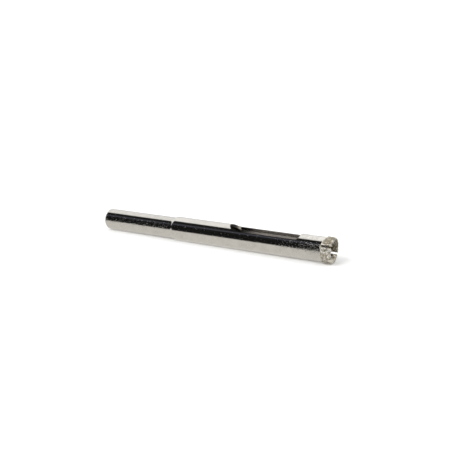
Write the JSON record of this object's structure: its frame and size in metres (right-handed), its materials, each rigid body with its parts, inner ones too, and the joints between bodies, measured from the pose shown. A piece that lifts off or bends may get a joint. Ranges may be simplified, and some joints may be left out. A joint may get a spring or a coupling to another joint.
{
  "type": "diamond drill bit",
  "caption": "Plain-shank core drill bit: a nickel-plated steel tube with a side window for clearing cores and a notched rim coated in diamond grit.",
  "frame": {"origin": "on the tool's axis, half way between the shank's end and the cutting rim", "axes": "+X along the axis towards the cutting rim, +Z out of the side window"},
  "size_m": [0.08, 0.008, 0.008],
  "materials": {
    "nickel_plated_steel": "bright nickel plate over turned steel, with fine scratches",
    "diamond_grit": "rough electroplated nickel holding coarse diamond grit"
  },
  "bodies": {
    "root": {"steel_body": "nickel_plated_steel", "diamond_coat": "diamond_grit"}
  },
  "joints": []
}
